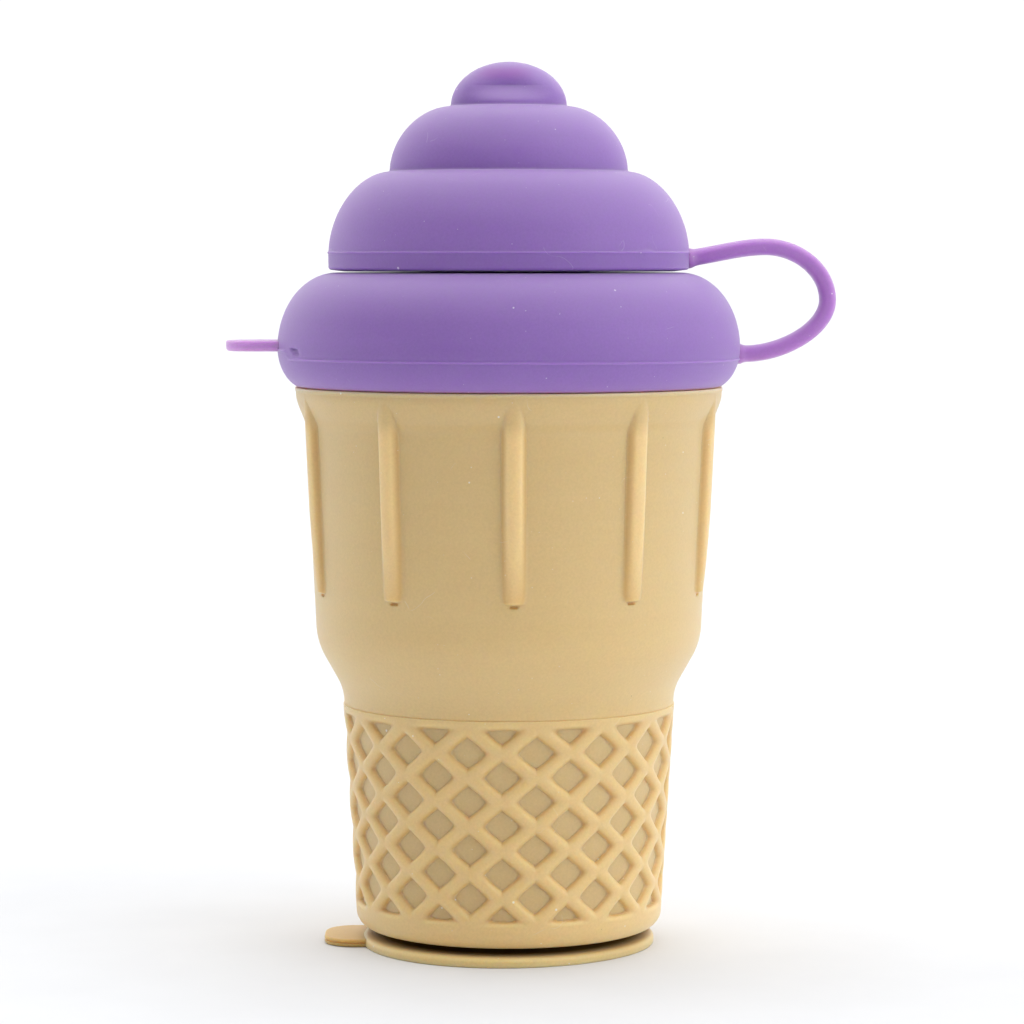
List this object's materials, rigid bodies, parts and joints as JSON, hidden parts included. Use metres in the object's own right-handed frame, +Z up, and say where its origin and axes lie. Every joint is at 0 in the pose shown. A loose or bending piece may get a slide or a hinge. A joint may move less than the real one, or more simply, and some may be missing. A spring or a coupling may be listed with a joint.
{
  "type": "gelato cup",
  "caption": "Silicone cup shaped like a soft-serve cone, with a waffle base on a suction foot and a swirl lid whose cap hangs on a strap.",
  "frame": {"origin": "middle of the bounding box at the floor, under the foot; the cup's own axis stands 3.79 mm towards -X of it", "axes": "+Z up along the cup's axis, +X towards the strap, -Y the front shown in the picture, -X towards the pull tabs"},
  "size_m": [0.1054, 0.08, 0.1523],
  "materials": {
    "tan_silicone": "matte",
    "purple_silicone": "matte"
  },
  "bodies": {
    "root": {"cup": "tan_silicone", "lid": "purple_silicone"}
  },
  "joints": []
}
